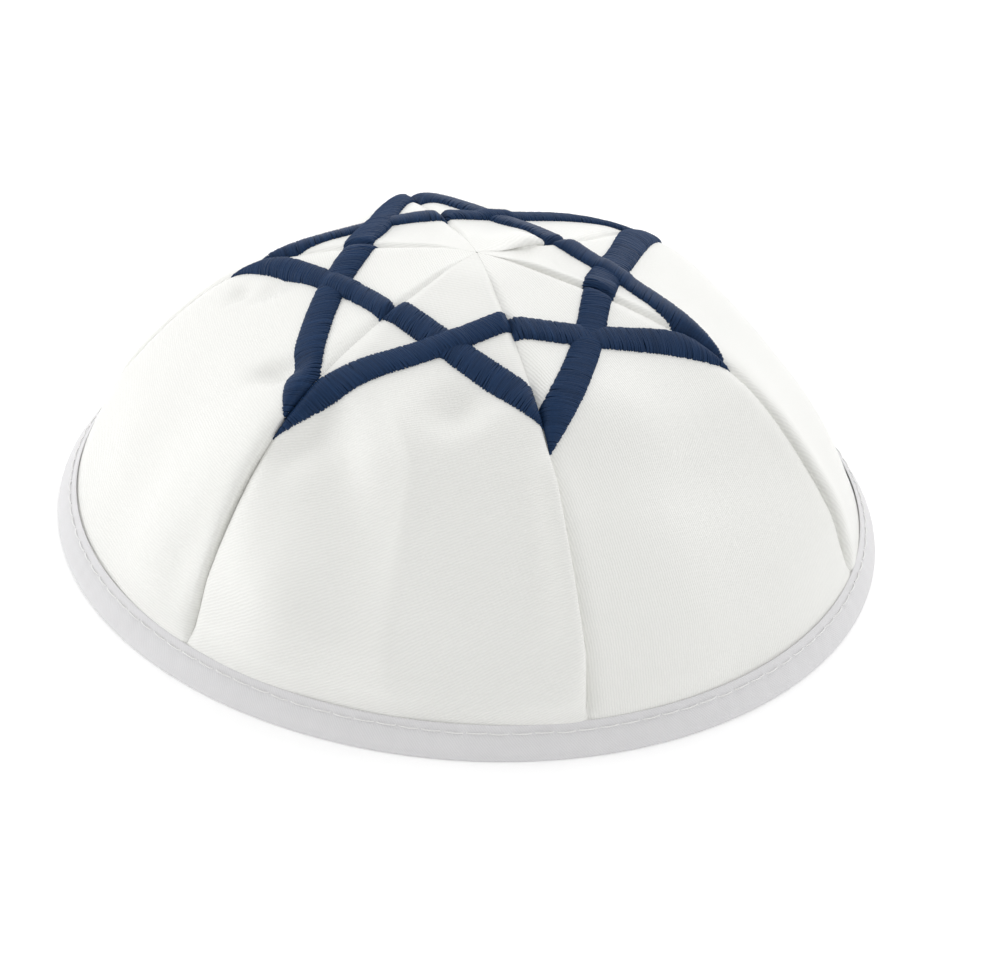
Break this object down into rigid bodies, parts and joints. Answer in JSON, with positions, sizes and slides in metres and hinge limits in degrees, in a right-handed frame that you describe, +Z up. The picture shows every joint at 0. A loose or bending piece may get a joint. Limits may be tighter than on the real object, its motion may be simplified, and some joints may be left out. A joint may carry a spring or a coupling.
{
  "type": "kippah skullcap",
  "caption": "Soft six-panel satin skullcap with a raised embroidered six-pointed star on the crown and a folded tape binding round the rim.",
  "frame": {"origin": "centre of the rim, on the surface that the cap rests on", "axes": "+Z up through the crown, -Y towards the front panel, +X to the cap's right as seen from the front"},
  "size_m": [0.177, 0.1768, 0.0647],
  "materials": {
    "white_satin": "polyester satin, soft sheen, fine diagonal rib",
    "navy_embroidery": "raised satin stitch in navy thread",
    "grey_tape": "matt plain-weave bias tape with a white running stitch"
  },
  "bodies": {
    "root": {"panel_front_right": "white_satin", "panel_back_right": "white_satin", "panel_back": "white_satin", "panel_back_left": "white_satin", "panel_front_left": "white_satin", "panel_front": "white_satin", "star_front_right": "navy_embroidery", "star_back_right": "navy_embroidery", "star_back": "navy_embroidery", "star_back_left": "navy_embroidery", "star_front_left": "navy_embroidery", "star_front": "navy_embroidery", "rim_binding": "grey_tape"}
  },
  "joints": []
}
